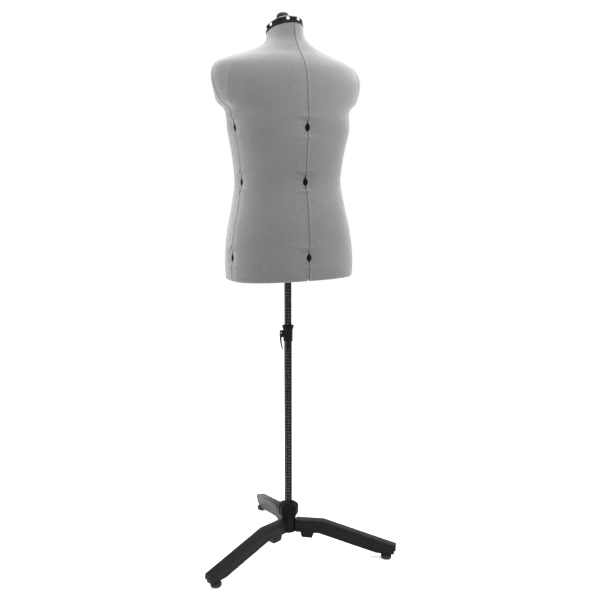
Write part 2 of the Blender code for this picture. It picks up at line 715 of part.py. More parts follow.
def make_leg(index, angle, parent):
    """A leg with a wider top flange, a web below it and a boss under the root for its screw."""
    pieces = []
    for outline, half in (LEG_FLANGE, LEG_WEB, LEG_BOSS):
        pieces.append(plate_mesh([(out * MM, up * MM) for out, up in outline], half * MM))
    frame = upright(angle)
    leg = new_piece(f"leg_{index}", pieces[0], BLACK_PLASTIC, parent, matrix=frame)
    for plate in pieces[1:]:
        combine(leg, new_cutter(plate, parent, frame), "UNION")
    low = (20 * MM, -LUG_HALF - LUG_PLAY, LUG_BOTTOM - LUG_PLAY)
    high = (LUG_LENGTH + MM, LUG_HALF + LUG_PLAY, LUG_TOP + LUG_PLAY)
    combine(leg, new_cutter(box_mesh(low, high, angle), parent), "DIFFERENCE")

    def holes(shape):
        out = Vector((math.cos(angle), math.sin(angle), 0))
        up = Vector((0, 0, 1))
        at = out * LEG_SCREW_REACH
        seat = SCREW_SEAT + 0.5 * MM
        add_rod(shape, LEG_SCREW_RADIUS + 0.6 * MM, at + up * seat, at + up * 0.075)
        add_rod(shape, LEG_SCREW_HEAD + 0.6 * MM, at + up * 0.040, at + up * (seat + 0.5 * MM))
        foot = out * FOOT_REACH
        add_rod(shape, FOOT_STUD + 0.4 * MM, foot, foot + up * (FOOT_STUD_TOP + 1.5 * MM))

    drilled = new_cutter(mesh_from(holes), parent)
    combine(leg, drilled, "DIFFERENCE")
    leg.modifiers[-1].use_self = True
    shank_top, head_top, head_bottom = 0.092, SCREW_SEAT + 0.2 * MM, SCREW_SEAT - 4.0 * MM
    screw = [
        (0.0, shank_top),
        (LEG_SCREW_RADIUS, shank_top),
        (LEG_SCREW_RADIUS, head_top),
        (LEG_SCREW_HEAD, head_top),
        (LEG_SCREW_HEAD, head_bottom),
        (0.0, head_bottom),
    ]
    at = (LEG_SCREW_REACH * math.cos(angle), LEG_SCREW_REACH * math.sin(angle), 0)
    turned(f"leg_screw_{index}", screw, SMALL_STEPS, STEEL, parent, location=at)


def make_foot(index, angle, parent):
    """A rubber foot with a stud pressed up into the leg."""
    at = (FOOT_REACH * math.cos(angle), FOOT_REACH * math.sin(angle), 0)
    turned(f"foot_{index}", FOOT_PROFILE, FOOT_STEPS, RUBBER, parent, location=at)


def make_collar_nut(parent):
    """The lobed nut that is tightened by hand to grip the pole in the hub."""
    points = 6 * NUT_LOBES
    outline = []
    for angle in (2 * math.pi * i / points for i in range(points)):
        radius = NUT_RADIUS + NUT_WAVE * math.cos(NUT_LOBES * angle)
        outline.append((radius * math.cos(angle), radius * math.sin(angle)))
    middle = Matrix.Translation((0, 0, (NUT_BOTTOM + NUT_TOP) / 2))
    plate = plate_mesh(outline, (NUT_TOP - NUT_BOTTOM) / 2)
    nut = new_piece("collar_nut", plate, BLACK_PLASTIC, parent, matrix=middle)

    def bore(shape):
        add_rod(shape, LOWER_RADIUS + 0.6 * MM, (0, 0, 0.1), (0, 0, 0.2), POLE_STEPS)
        add_rod(shape, NECK_RADIUS + 0.4 * MM, (0, 0, 0.1), (0, 0, NECK_TOP + 1.5 * MM), POLE_STEPS)

    combine(nut, new_cutter(mesh_from(bore), parent), "DIFFERENCE")
    nut.modifiers[-1].use_self = True


remove_everything()
parts = new_collection("dress_form")
cutters = new_collection("cutters", hidden=True)
stand_frame = new_empty("stand_frame", location=POLE)
height_frame = new_empty("height_frame", stand_frame)
torso_frame = new_empty("torso_frame", height_frame)
panel_frames = {name: new_empty(f"panel_frame_{name}", torso_frame) for name in PANELS}

make_hub(stand_frame)
for number, leg_angle in enumerate(LEG_ANGLES, start=1):
    make_leg(number, leg_angle, stand_frame)
    make_foot(number, leg_angle, stand_frame)
make_collar_nut(stand_frame)
make_poles(stand_frame, height_frame)
make_clamp(stand_frame)
make_carriers(torso_frame)
make_neck(torso_frame)
fabric_openings = new_cutter(seam_openings(FABRIC_OPENING), torso_frame)
shell_openings = new_cutter(seam_openings(SHELL_OPENING), torso_frame)
for panel_name, (panel_side, panel_end) in PANELS.items():
    frame = panel_frames[panel_name]
    make_panel(panel_name, panel_side, panel_end, frame, fabric_openings, shell_openings)
    for level_name, reach, arm_height in (
        ("upper", UPPER_SOCKET, UPPER_ARM_Z),
        ("lower", LOWER_SOCKET, LOWER_ARM_Z),
    ):
        socket_name = f"{level_name}_socket_{panel_name}"
        make_slide_socket(socket_name, panel_side, panel_end, reach, arm_height, frame)
make_wheels()
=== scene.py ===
"""Looks of an adjustable dress form on a three-legged stand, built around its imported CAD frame."""

import math

import bmesh
import bpy
import numpy as np
from mathutils import Matrix, Vector, noise


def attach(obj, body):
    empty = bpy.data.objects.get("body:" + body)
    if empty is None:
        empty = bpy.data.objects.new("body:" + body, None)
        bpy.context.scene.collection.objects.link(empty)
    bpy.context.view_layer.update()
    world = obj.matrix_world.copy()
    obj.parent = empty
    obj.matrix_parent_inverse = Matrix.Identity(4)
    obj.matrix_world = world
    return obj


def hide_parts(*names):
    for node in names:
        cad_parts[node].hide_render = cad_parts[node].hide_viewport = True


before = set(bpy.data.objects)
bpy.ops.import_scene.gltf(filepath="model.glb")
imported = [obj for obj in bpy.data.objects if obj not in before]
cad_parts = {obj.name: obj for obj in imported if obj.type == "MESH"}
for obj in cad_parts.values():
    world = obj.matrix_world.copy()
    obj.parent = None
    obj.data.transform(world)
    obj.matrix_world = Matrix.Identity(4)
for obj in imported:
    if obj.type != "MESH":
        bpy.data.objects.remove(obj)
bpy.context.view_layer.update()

MM = 0.001
CENTIMETRE = 0.01
POLE = Vector((-0.02725, 0.05695, 0.0))
AT_POLE = Matrix.Translation(POLE)

# Legs, about the pole: their turns, and the line of their top edge, level and then sloping down.
LEG_TURNS = [math.radians(a) for a in (20.4, 140.4, 260.4)]
LEG_TOP, LEG_BEND, LEG_SLOPE = 0.1075, 0.116, 0.265
FOOT_REACH = 0.320

# Torso skin, row by row from the hem to the neck, about the pole: heights at the side, back and
# front, half width and place of the side seam, depth of the back and front seams, squareness.
SECTIONS = [
    (0.897, 0.898, 0.897, 0.1960, 0.025, 0.134, -0.135, 2.4, 2.6),
    (0.930, 0.930, 0.930, 0.1975, 0.026, 0.138, -0.139, 2.4, 2.6),
    (0.970, 0.970, 0.970, 0.1970, 0.026, 0.139, -0.140, 2.4, 2.6),
    (1.045, 1.045, 1.045, 0.1880, 0.022, 0.136, -0.138, 2.4, 2.6),
    (1.120, 1.120, 1.120, 0.1705, 0.017, 0.127, -0.134, 2.4, 2.6),
    (1.190, 1.190, 1.190, 0.1600, 0.015, 0.115, -0.131, 2.4, 2.6),
    (1.265, 1.265, 1.265, 0.1675, 0.020, 0.121, -0.134, 2.4, 2.6),
    (1.345, 1.345, 1.345, 0.1840, 0.025, 0.128, -0.134, 2.4, 2.6),
    (1.396, 1.396, 1.396, 0.1895, 0.010, 0.129, -0.130, 2.3, 2.4),
    (1.427, 1.427, 1.427, 0.2190, 0.003, 0.127, -0.122, 2.2, 2.2),
    (1.485, 1.481, 1.477, 0.2380, -0.002, 0.121, -0.107, 2.2, 1.9),
    (1.524, 1.520, 1.512, 0.2280, -0.004, 0.110, -0.097, 2.1, 1.8),
    (1.543, 1.545, 1.530, 0.1900, -0.006, 0.094, -0.088, 2.0, 1.8),
    (1.559, 1.562, 1.546, 0.1420, -0.008, 0.077, -0.082, 1.9, 2.0),
    (1.575, 1.582, 1.561, 0.0950, -0.010, 0.062, -0.078, 2.0, 2.0),
    (1.600, 1.608, 1.585, 0.0600, -0.012, 0.047, -0.076, 2.0, 2.0),
    (1.630, 1.648, 1.612, 0.0515, -0.017, 0.0405, -0.074, 2.0, 2.0),
    (1.647, 1.665, 1.629, 0.0505, -0.0215, 0.0355, -0.079, 2.0, 2.0),
]
TOP_ROW = len(SECTIONS) - 1
BAND_ROW = TOP_ROW - 1
SEAM_HALF = 1.25 * MM
# Panel name: its side (+1 left) and its end (+1 back).
PANELS = {
    "left_back": (1, 1),
    "right_back": (-1, 1),
    "left_front": (1, -1),
    "right_front": (-1, -1),
}
SEAMS = ("centre_back", "centre_front", "left_side", "right_side")
# Adjusters: their rows in the table above, and how deep the screws lie under the skin.
ADJUSTERS = {"hip": 2, "waist": 5, "chest": 7}
WHEEL_DEPTH = 13.3 * MM

# Camera, as fitted to the feet, the hem and the neck of the form.
VIEW_TURN = math.radians(27.0)
VIEW_DISTANCE, VIEW_HEIGHT = 2.4, 1.213
VIEW_YAW, VIEW_PITCH = math.radians(-0.9), math.radians(9.19)
VIEW_LENS = 46.8
TOWARDS_CAMERA = Vector((math.sin(VIEW_TURN), math.cos(VIEW_TURN), 0.0))
IMAGE_RIGHT = Vector((-math.cos(VIEW_TURN), math.sin(VIEW_TURN), 0.0))
UP = Vector((0.0, 0.0, 1.0))

# The pole's scale faces the camera, turned a little to the view's left.
SCALE_TURN = math.radians(90.0) - VIEW_TURN - math.radians(4.0)
SCALE_OUT = Vector((math.cos(SCALE_TURN), math.sin(SCALE_TURN), 0.0))
SCALE_ACROSS = Vector((-SCALE_OUT.y, SCALE_OUT.x, 0.0))


# ---------------------------------------------------------------- materials


class Look:
    """A node material. Numbers that are the same everywhere are set on the shader itself."""

    def __init__(self, name, **values):
        self.material = bpy.data.materials.new(name)
        self.material.use_nodes = True
        self.tree = self.material.node_tree
        self.shader = self.tree.nodes["Principled BSDF"]
        for socket, value in values.items():
            self.shader.inputs[socket.replace("_", " ")].default_value = value

    def node(self, kind, inputs=None, **settings):
        made = self.tree.nodes.new(kind)
        for key, value in settings.items():
            setattr(made, key, value)
        for socket, value in (inputs or {}).items():
            target = made.inputs[socket]
            if isinstance(value, bpy.types.NodeSocket):
                self.tree.links.new(value, target)
            else:
                target.default_value = value
        return made

    def link(self, output, socket):
        self.tree.links.new(output, self.shader.inputs[socket])

    def coordinates(self, kind="Object"):
        return self.node("ShaderNodeTexCoord").outputs[kind]

    def scaled(self, where, scale):
        return self.node("ShaderNodeMapping", {"Vector": where, "Scale": scale}).outputs["Vector"]

    def noise(self, where, scale, detail=3.0, roughness=0.5):
        made = self.node(
            "ShaderNodeTexNoise",
            {"Vector": where, "Scale": scale, "Detail": detail, "Roughness": roughness},
        )
        return made.outputs["Fac"]

    def ramp(self, factor, stops):
        made = self.node("ShaderNodeValToRGB", {"Fac": factor})
        band = made.color_ramp
        while len(band.elements) < len(stops):
            band.elements.new(0.5)
        for element, (place, colour) in zip(band.elements, stops):
            element.position = place
            element.color = (*colour, 1.0)
        return made.outputs["Color"]

    def spread(self, factor, low, high, start=0.3, stop=0.7):
        made = self.node(
            "ShaderNodeMapRange",
            {"Value": factor, "From Min": start, "From Max": stop, "To Min": low, "To Max": high},
        )
        return made.outputs["Result"]

    def math(self, operation, first, second=0.0):
        made = self.node("ShaderNodeMath", operation=operation)
        for socket, value in zip(made.inputs, (first, second)):
            if isinstance(value, bpy.types.NodeSocket):
                self.tree.links.new(value, socket)
            else:
                socket.default_value = value
        return made.outputs["Value"]

    def mix(self, factor, first, second, blend="MIX"):
        made = self.node("ShaderNodeMix", data_type="RGBA", blend_type=blend)
        for socket, value in ((0, factor), (6, first), (7, second)):
            if isinstance(value, bpy.types.NodeSocket):
                self.tree.links.new(value, made.inputs[socket])
            elif isinstance(value, tuple):
                made.inputs[socket].default_value = (*value, 1.0)
            else:
                made.inputs[socket].default_value = value
        return made.outputs[2]

    def bump(self, height, strength, distance, before=None):
        inputs = {"Height": height, "Strength": strength, "Distance": distance}
        if before is not None:
            inputs["Normal"] = before
        return self.node("ShaderNodeBump", inputs).outputs["Normal"]


def grey(value):
    return (value, value, value)


def knit_fabric():
    """Foam-backed grey jersey: fine wales and courses with painted shade in their hollows, a heathered
    yarn and a soft nap.
    """
    look = Look(
        "grey_jersey",
        Sheen_Weight=0.8,
        Sheen_Roughness=0.35,
        Specular_IOR_Level=0.2,
    )
    flat = look.coordinates("UV")
    solid = look.coordinates()

    def stitch_lines(direction, scale, distortion):
        """Waves across the cloth in one direction."""
        inputs = {"Vector": flat, "Scale": scale, "Distortion": distortion}
        inputs.update({"Detail": 1.0, "Detail Scale": 2.0})
        return look.node("ShaderNodeTexWave", inputs, bands_direction=direction).outputs["Fac"]

    wales, courses = stitch_lines("X", 290.0, 1.2), stitch_lines("Y", 380.0, 1.6)
    stitches = look.math("MULTIPLY", wales, courses)
    heather = look.noise(solid, 850.0, 4.0, 0.7)
    cloud = look.noise(solid, 7.0, 3.0, 0.55)
    slub = look.noise(solid, 330.0, 3.0, 0.65)
    yarn = look.ramp(heather, [(0.3, (0.170, 0.174, 0.178)), (0.7, (0.235, 0.240, 0.244))])
    shade = look.ramp(cloud, [(0.3, grey(0.90)), (0.7, grey(1.0))])
    fleck = look.ramp(slub, [(0.38, grey(0.78)), (0.62, grey(1.0))])
    toned = look.mix(1.0, look.mix(1.0, yarn, shade, "MULTIPLY"), fleck, "MULTIPLY")
    # Painted shade: the colour darkens where the stitch height is low, in the hollows between stitches.
    depth = look.ramp(stitches, [(0.0, grey(0.86)), (0.45, grey(1.0))])
    look.link(look.mix(1.0, toned, depth, "MULTIPLY"), "Base Color")
    look.link(look.spread(heather, 0.78, 0.95), "Roughness")
    relief = look.bump(stitches, 0.55, 0.0004)
    relief = look.bump(heather, 0.25, 0.0003, relief)
    relief = look.bump(slub, 0.35, 0.0006, relief)
    look.link(look.bump(cloud, 0.25, 0.004, relief), "Normal")
    return look.material


def moulded_plastic(name, colour, rough=(0.38, 0.55)):
    """Moulded plastic: a fine spark-eroded grain, soft blotches and edges a little lighter, partly
    rubbed wear and partly a painted highlight.
    """
    look = Look(name, Specular_IOR_Level=0.06)
    solid = look.coordinates()
    texture = look.noise(solid, 900.0, 2.0, 0.6)
    blotch = look.noise(solid, 22.0, 4.0, 0.6)
    scratch = look.noise(look.scaled(solid, (240.0, 240.0, 18.0)), 1.0, 2.0, 0.6)
    dark = tuple(0.8 * part for part in colour)
    light = tuple(1.25 * part for part in colour)
    body = look.ramp(blotch, [(0.35, dark), (0.65, light)])
    # Lighter edges: partly rubbed wear, partly a painted highlight on the edges.
    edge = look.node("ShaderNodeNewGeometry").outputs["Pointiness"]
    edge_wear_and_highlight = look.spread(edge, 0.0, 0.5, 0.52, 0.60)
    rubbed = tuple(min(1.0, 2.2 * part + 0.01) for part in colour)
    look.link(look.mix(edge_wear_and_highlight, body, rubbed), "Base Color")
    scuffs = look.spread(scratch, 0.0, 0.08, 0.6, 0.75)
    look.link(look.math("ADD", look.spread(blotch, *rough), scuffs), "Roughness")
    relief = look.bump(texture, 0.35, 0.00012)
    look.link(look.bump(blotch, 0.15, 0.0015, relief), "Normal")
    return look.material


def leg_plastic():
    """Black moulded plastic with the legs' grooves and lips, which run along each leg, with painted
    shade in the grooves and painted highlights on the lips and top edges.
    """
    look = Look("leg_plastic", Specular_IOR_Level=0.10)
    solid = look.coordinates()
    apart = look.node("ShaderNodeSeparateXYZ", {"Vector": solid})
    x = look.math("SUBTRACT", apart.outputs["X"], POLE.x)
    y = look.math("SUBTRACT", apart.outputs["Y"], POLE.y)
    squares = look.math("ADD", look.math("MULTIPLY", x, x), look.math("MULTIPLY", y, y))
    reach = look.math("SQRT", squares)
    third = 2 * math.pi / 3
    turn = look.math("SUBTRACT", look.math("ARCTAN2", y, x), LEG_TURNS[0] - third / 2)
    turn = look.math("SUBTRACT", look.math("FLOORED_MODULO", turn, third), third / 2)
    across = look.math("ABSOLUTE", look.math("MULTIPLY", reach, look.math("SINE", turn)))
    past_bend = look.math("MAXIMUM", look.math("SUBTRACT", reach, LEG_BEND), 0.0)
    top = look.math("SUBTRACT", LEG_TOP, look.math("MULTIPLY", past_bend, LEG_SLOPE))
    depth = look.math("SUBTRACT", top, apart.outputs["Z"])

    def line(where, centre, width):
        """1 along a line, fading to 0 at its edges."""
        off = look.math("ABSOLUTE", look.math("SUBTRACT", where, centre))
        return look.spread(off, 1.0, 0.0, 0.35 * width, 0.5 * width)

    on_top = look.spread(depth, 1.0, 0.0, 0.9 * MM, 1.3 * MM)
    on_side = look.math("SUBTRACT", 1.0, on_top)
    # Groove masks: bump for the grooves, and painted shade that darkens them.
    groove = look.math("ADD", line(depth, 18.6 * MM, 4.0 * MM), line(depth, 31.0 * MM, 2.0 * MM))
    groove = look.math("MULTIPLY", groove, on_side)
    top_groove_and_shade = look.math("MULTIPLY", on_top, line(across, 8.6 * MM, 2.2 * MM))
    groove = look.math("MAXIMUM", groove, top_groove_and_shade)
    # Lip masks: bump for the lips, and a painted highlight that lightens the lips and the top edges.
    lip_and_highlight = look.math("ADD", line(depth, 14.6 * MM, 2.2 * MM), line(depth, 23.0 * MM, 2.6 * MM))
    lip_and_highlight = look.math("MAXIMUM", look.math("MULTIPLY", lip_and_highlight, on_side), line(depth, 1.4 * MM, 2.0 * MM))
    top_lip_and_highlight = look.math("MULTIPLY", on_top, line(across, 5.6 * MM, 2.0 * MM))
    lip_and_highlight = look.math("MAXIMUM", lip_and_highlight, top_lip_and_highlight)
    blotch = look.noise(solid, 26.0, 4.0, 0.6)
    texture = look.noise(solid, 700.0, 2.0, 0.6)
    body = look.ramp(blotch, [(0.35, grey(0.0045)), (0.65, grey(0.0065))])
    # Painted highlight: the lips and top edges lighter than the body.
    raised = look.mix(look.math("MULTIPLY", lip_and_highlight, 0.6), body, grey(0.020))
    # Painted shade: the grooves darker than the body.
    look.link(look.mix(groove, raised, grey(0.0012)), "Base Color")
    look.link(look.spread(blotch, 0.32, 0.46), "Roughness")
    relief = look.bump(texture, 0.35, 0.00012)
    relief = look.bump(lip_and_highlight, 0.4, 0.0007, relief)
    look.link(look.bump(look.math("SUBTRACT", 1.0, groove), 0.4, 0.0012, relief), "Normal")
    return look.material


def brushed_metal(name, colour, rough=(0.22, 0.4)):
    """Plated steel: fine turning lines, dulled in patches."""
    look = Look(name, Metallic=1.0)
    solid = look.coordinates()
    lines = look.noise(look.scaled(solid, (60.0, 60.0, 2600.0)), 1.0, 3.0, 0.6)
    patches = look.noise(solid, 60.0, 4.0, 0.6)
    dark = tuple(0.72 * part for part in colour)
    look.link(look.ramp(patches, [(0.3, dark), (0.7, colour)]), "Base Color")
    look.link(look.spread(patches, *rough), "Roughness")
    look.link(look.bump(lines, 0.25, 0.00008), "Normal")
    return look.material


def rubber():
    """Matt rubber, dusty where it meets the floor."""
    look = Look("foot_rubber", Specular_IOR_Level=0.3)
    solid = look.coordinates()
    dust = look.noise(solid, 70.0, 5.0, 0.65)
    grain = look.noise(solid, 1400.0, 2.0, 0.5)
    height = look.node("ShaderNodeSeparateXYZ", {"Vector": solid}).outputs["Z"]
    low = look.spread(height, 1.0, 0.0, 0.0, 0.012)
    dusty = look.math("MULTIPLY", low, look.spread(dust, 0.0, 0.8, 0.4, 0.65))
    body = look.ramp(dust, [(0.3, grey(0.011)), (0.7, grey(0.020))])
    look.link(look.mix(dusty, body, (0.060, 0.056, 0.050)), "Base Color")
    look.link(look.spread(dust, 0.7, 0.92), "Roughness")
    look.link(look.bump(grain, 0.4, 0.0002), "Normal")
    return look.material


def scale_paint():
    """Black powder coat with a printed scale: a tick at each centimetre, longer at each fifth."""
    look = Look("pole_paint", Specular_IOR_Level=0.08)
    solid = look.coordinates()
    apart = look.node("ShaderNodeSeparateXYZ", {"Vector": solid})
    x, y, height = apart.outputs["X"], apart.outputs["Y"], apart.outputs["Z"]

    def along(axis):
        """How far a point lies along a level axis."""
        return look.math("ADD", look.math("MULTIPLY", x, axis.x), look.math("MULTIPLY", y, axis.y))

    forward, across = along(SCALE_OUT), along(SCALE_ACROSS)
    front = look.math("GREATER_THAN", forward, 0.0)

    def ticks(pitch, thickness, left, right):
        """Lines across part of the tube, one at each pitch."""
        phase = look.math("FRACT", look.math("DIVIDE", height, pitch))
        line = look.math("LESS_THAN", phase, thickness / pitch)
        after = look.math("GREATER_THAN", across, left)
        before = look.math("LESS_THAN", across, right)
        return look.math("MULTIPLY", line, look.math("MULTIPLY", after, before))

    fine = ticks(CENTIMETRE, 1.1 * MM, -6.6 * MM, -2.6 * MM)
    coarse = ticks(5 * CENTIMETRE, 1.5 * MM, -6.6 * MM, 0.4 * MM)
    from_rule = look.math("ABSOLUTE", look.math("ADD", across, 6.8 * MM))
    rule = look.math("LESS_THAN", from_rule, 0.35 * MM)
    printed = look.math("MAXIMUM", look.math("MAXIMUM", fine, coarse), rule)
    printed = look.math("MULTIPLY", printed, front)
    rubbed = look.noise(solid, 260.0, 4.0, 0.65)
    printed = look.math("MULTIPLY", printed, look.spread(rubbed, 0.25, 0.95, 0.35, 0.5))
    blotch = look.noise(solid, 30.0, 4.0, 0.6)
    orange_peel = look.noise(solid, 700.0, 2.0, 0.5)
    coat = look.ramp(blotch, [(0.35, grey(0.004)), (0.65, grey(0.008))])
    look.link(look.mix(printed, coat, grey(0.17)), "Base Color")
    look.link(look.spread(blotch, 0.26, 0.42), "Roughness")
    look.link(look.bump(orange_peel, 0.2, 0.0002), "Normal")
    return look.material


def floor_paint():
    """Near-white paint that glows a little, so that the floor runs into the white room."""
    look = Look(
        "studio_floor",
        Specular_IOR_Level=0.1,
        Emission_Color=(1.0, 1.0, 1.0, 1.0),
        Emission_Strength=0.34,
    )
    solid = look.coordinates()
    cloud = look.noise(solid, 3.0, 3.0, 0.5)
    look.link(look.ramp(cloud, [(0.3, grey(0.90)), (0.7, grey(0.93))]), "Base Color")
    look.link(look.spread(cloud, 0.85, 0.95), "Roughness")
    return look.material


JERSEY = knit_fabric()
BLACK = moulded_plastic("black_plastic", (0.005, 0.005, 0.0055))
LEG_BLACK = leg_plastic()
SHELL = moulded_plastic("shell_plastic", (0.018, 0.018, 0.019), rough=(0.5, 0.65))
BAND = moulded_plastic("band_plastic", (0.008, 0.008, 0.009), rough=(0.4, 0.55))
CAP = moulded_plastic("cap_plastic", (0.085, 0.086, 0.088), rough=(0.35, 0.5))
KNOB = moulded_plastic("knob_plastic", (0.022, 0.022, 0.024), rough=(0.3, 0.42))
STUD = moulded_plastic("stud_plastic", (0.66, 0.66, 0.65), rough=(0.25, 0.4))
STEEL = brushed_metal("plated_steel", (0.62, 0.62, 0.63))
CARRIER = brushed_metal("carrier_metal", (0.36, 0.36, 0.37), rough=(0.38, 0.55))
RUBBER = rubber()
POLE_PAINT = scale_paint()
PRINT = moulded_plastic("print_white", (0.17, 0.17, 0.17), rough=(0.5, 0.65))


# ---------------------------------------------------------------- mesh tools


def new_mesh_object(name, points, faces, material, smooth_angle=35.0, closed=True):
    """A shaded mesh object from points and faces."""
    mesh = bpy.data.meshes.new(name)
    mesh.from_pydata([tuple(p) for p in points], [], faces)
    shape = bmesh.new()
    shape.from_mesh(mesh)
    bmesh.ops.remove_doubles(shape, verts=shape.verts, dist=1e-6)
    if closed:
        bmesh.ops.recalc_face_normals(shape, faces=shape.faces)
    for face in shape.faces:
        face.smooth = True
    limit = math.radians(smooth_angle)
    for edge in shape.edges:
        edge.smooth = len(edge.link_faces) == 2 and edge.calc_face_angle(0.0) < limit
    shape.to_mesh(mesh)
    shape.free()
    mesh.materials.append(material)
    made = bpy.data.objects.new(name, mesh)
    bpy.context.scene.collection.objects.link(made)
    return made


def fillet(profile, radius, steps=4, closed=False):
    """Rounds each corner of a profile with a small curve."""
    points = [Vector(p) for p in profile]
    count = len(points)
    out = []
    for i, corner in enumerate(points):
        if not closed and i in (0, count - 1):
            out.append(tuple(corner))
            continue
        before, after = points[i - 1], points[(i + 1) % count]
        back, ahead = before - corner, after - corner
        reach = min(radius, 0.45 * back.length, 0.45 * ahead.length)
        start = corner + back.normalized() * reach
        stop = corner + ahead.normalized() * reach
        for k in range(steps + 1):
            t = k / steps
            out.append(tuple((1 - t) ** 2 * start + 2 * t * (1 - t) * corner + t * t * stop))
    return out


def turned(name, profile, steps, material, closed=False, radial=None, smooth_angle=35.0):
    """A profile of (radius, height) points turned about Z. radial(angle, radius, height) may move it."""
    angles = [2 * math.pi * i / steps for i in range(steps)]
    points, rings = [], []
    for radius, height in profile:
        if radius < 1e-6:
            rings.append([len(points)] * steps)
            points.append((0.0, 0.0, height))
            continue
        ring = []
        for angle in angles:
            reach = radial(angle, radius, height) if radial else radius
            ring.append(len(points))
            points.append((reach * math.cos(angle), reach * math.sin(angle), height))
        rings.append(ring)
    pairs = list(zip(rings, rings[1:]))
    if closed:
        pairs.append((rings[-1], rings[0]))
    faces = []
    for low, high in pairs:
        for i in range(steps):
            j = (i + 1) % steps
            corners = [low[i], low[j], high[j], high[i]]
            corners = [c for n, c in enumerate(corners) if c not in corners[:n]]
            if len(corners) > 2:
                faces.append(corners)
    return new_mesh_object(name, points, faces, material, smooth_angle)


def place(piece, matrix):
    """Stands a piece at its place in the frame."""
    piece.matrix_world = matrix


def settle(piece, body, slot, *nodes):
    """Rides a piece on its body and stands it in for its CAD nodes. The slot argument is not used."""
    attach(piece, body)
    if nodes:
        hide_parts(*nodes)


# ---------------------------------------------------------------- torso skin


def smooth_rows(level):
    """The skin's numbers at a fractional row, on a Catmull-Rom curve through the rows."""
    start = min(int(level), TOP_ROW - 1)
    part = level - start
    rows = [SECTIONS[min(max(start + k, 0), TOP_ROW)] for k in (-1, 0, 1, 2)]
    return [
        0.5 * (2 * q + (r - p) * part + (2 * p - 5 * q + 4 * r - s) * part**2
               + (3 * q - p - 3 * r + s) * part**3)
        for p, q, r, s in zip(*rows)
    ]


def skin_ring(level, turns, side, end):
    """Points of the skin at one level. A turn is 0 at the side seam and a quarter at the centre seam."""
    low, back, front, half, side_y, back_y, front_y, back_power, front_power = smooth_rows(level)
    high, depth, power = (back, back_y, back_power) if end > 0 else (front, front_y, front_power)
    across = np.abs(np.cos(turns)) ** (2 / power)
    along = np.abs(np.sin(turns)) ** (2 / power)
    x = side * (SEAM_HALF + half * across)
    y = side_y + end * SEAM_HALF + (depth - side_y) * along
    z = low + (high - low) * along
    return np.stack([x, y, z], axis=1)


def unit(vectors):
    """Vectors scaled to length 1."""
    return vectors / np.linalg.norm(vectors, axis=-1, keepdims=True)


def skin_grid(levels, places, side, end):
    """Points and normals over one quarter, and each row's length.

    places(level, length) gives each column's distance from the side seam, along the skin.
    """
    turns = np.linspace(0.0, 1.0, 400)
    turns = (turns - np.sin(2 * math.pi * turns) / (2 * math.pi)) * math.pi / 2
    step = 0.01
    points, normals, lengths = [], [], []
    for level in levels:
        ring = skin_ring(level, turns, side, end)
        above = skin_ring(min(level + step, TOP_ROW), turns, side, end)
        below = skin_ring(max(level - step, 0.0), turns, side, end)
        over = unit(np.gradient(ring, axis=0))
        outward = unit(np.cross(over, above - below) * side * end)
        run = np.concatenate([[0.0], np.cumsum(np.linalg.norm(np.diff(ring, axis=0), axis=1))])
        want = places(level, run[-1])
        at = np.stack([np.interp(want, run, ring[:, k]) for k in range(3)], axis=1)
        at += np.minimum(want, 0.0)[:, None] * over[0]
        at += np.maximum(want - run[-1], 0.0)[:, None] * over[-1]
        points.append(at)
        normals.append(unit(np.stack([np.interp(want, run, outward[:, k]) for k in range(3)], axis=1)))
        lengths.append(run[-1])
    return np.array(points), np.array(normals), np.array(lengths)


def bell(distance, width):
    """A smooth bump: 1 at distance 0, about a third at one width."""
    return np.exp(-((distance / width) ** 2))


# Distance in from a seam's edge in mm, and height over the skin as a share of the wrap's depth:
# the jersey wraps over the shell's edge.
EDGE = [
    (-0.50, -1.0), (-0.50, -0.62), (-0.50, -0.34), (-0.32, -0.19), (0.05, -0.09), (0.6, -0.02),
    (1.4, 0.0), (2.2, 0.0), (3.2, 0.0), (4.5, 0.0), (6.2, 0.0), (8.4, 0.0), (11.0, 0.0),
    (14.0, 0.0), (17.5, 0.0), (21.5, 0.0), (26.0, 0.0),
]
WRAP, WRAP_AT_WHEEL = 6.2 * MM, 1.8 * MM
MIDDLE_COLUMNS = 40
OPENING_HALF_WIDTH, OPENING_HALF_HEIGHT = 7.6 * MM, 12.6 * MM
ADJUSTER_HEIGHTS = [SECTIONS[row][0] for row in ADJUSTERS.values()]
HEM_HEIGHT = SECTIONS[0][0]
COVER_TOP = BAND_ROW - 0.02
HEM_RADIUS = 7.0 * MM
# Creases beside an adjuster, in mm: height over the skin, rise over the adjuster, slope away from
# the seam, width, and reach along the crease.
CREASES = [
    (3.0, 29, 0.1, 7.0, 34),
    (-1.6, 17, 0.1, 4.4, 30),
    (-1.2, -19, 0.0, 4.0, 22),
    (2.9, -28, 0.0, 4.6, 26),
]
# Heights of the arm stub: where its end starts and stops, where its rim starts to widen, and the
# underarm.
STUB_LOW, STUB_HIGH, RIM_LOW, UNDERARM = 1.395, 1.530, 1.405, 1.418
# The hollow that an adjuster pulls into the jersey, and how far the foam behind it gives.
DIMPLE, FOAM_GIVE = 2.6 * MM, 2.2 * MM
# Rise over the cover's lowest row, and depth under the skin, in mm, of the rows turned in at the hem.
TURNED_IN = [(22.0, 9.6), (14.0, 9.6), (6.0, 9.6), (1.6, 9.4), (0.3, 8.6)]


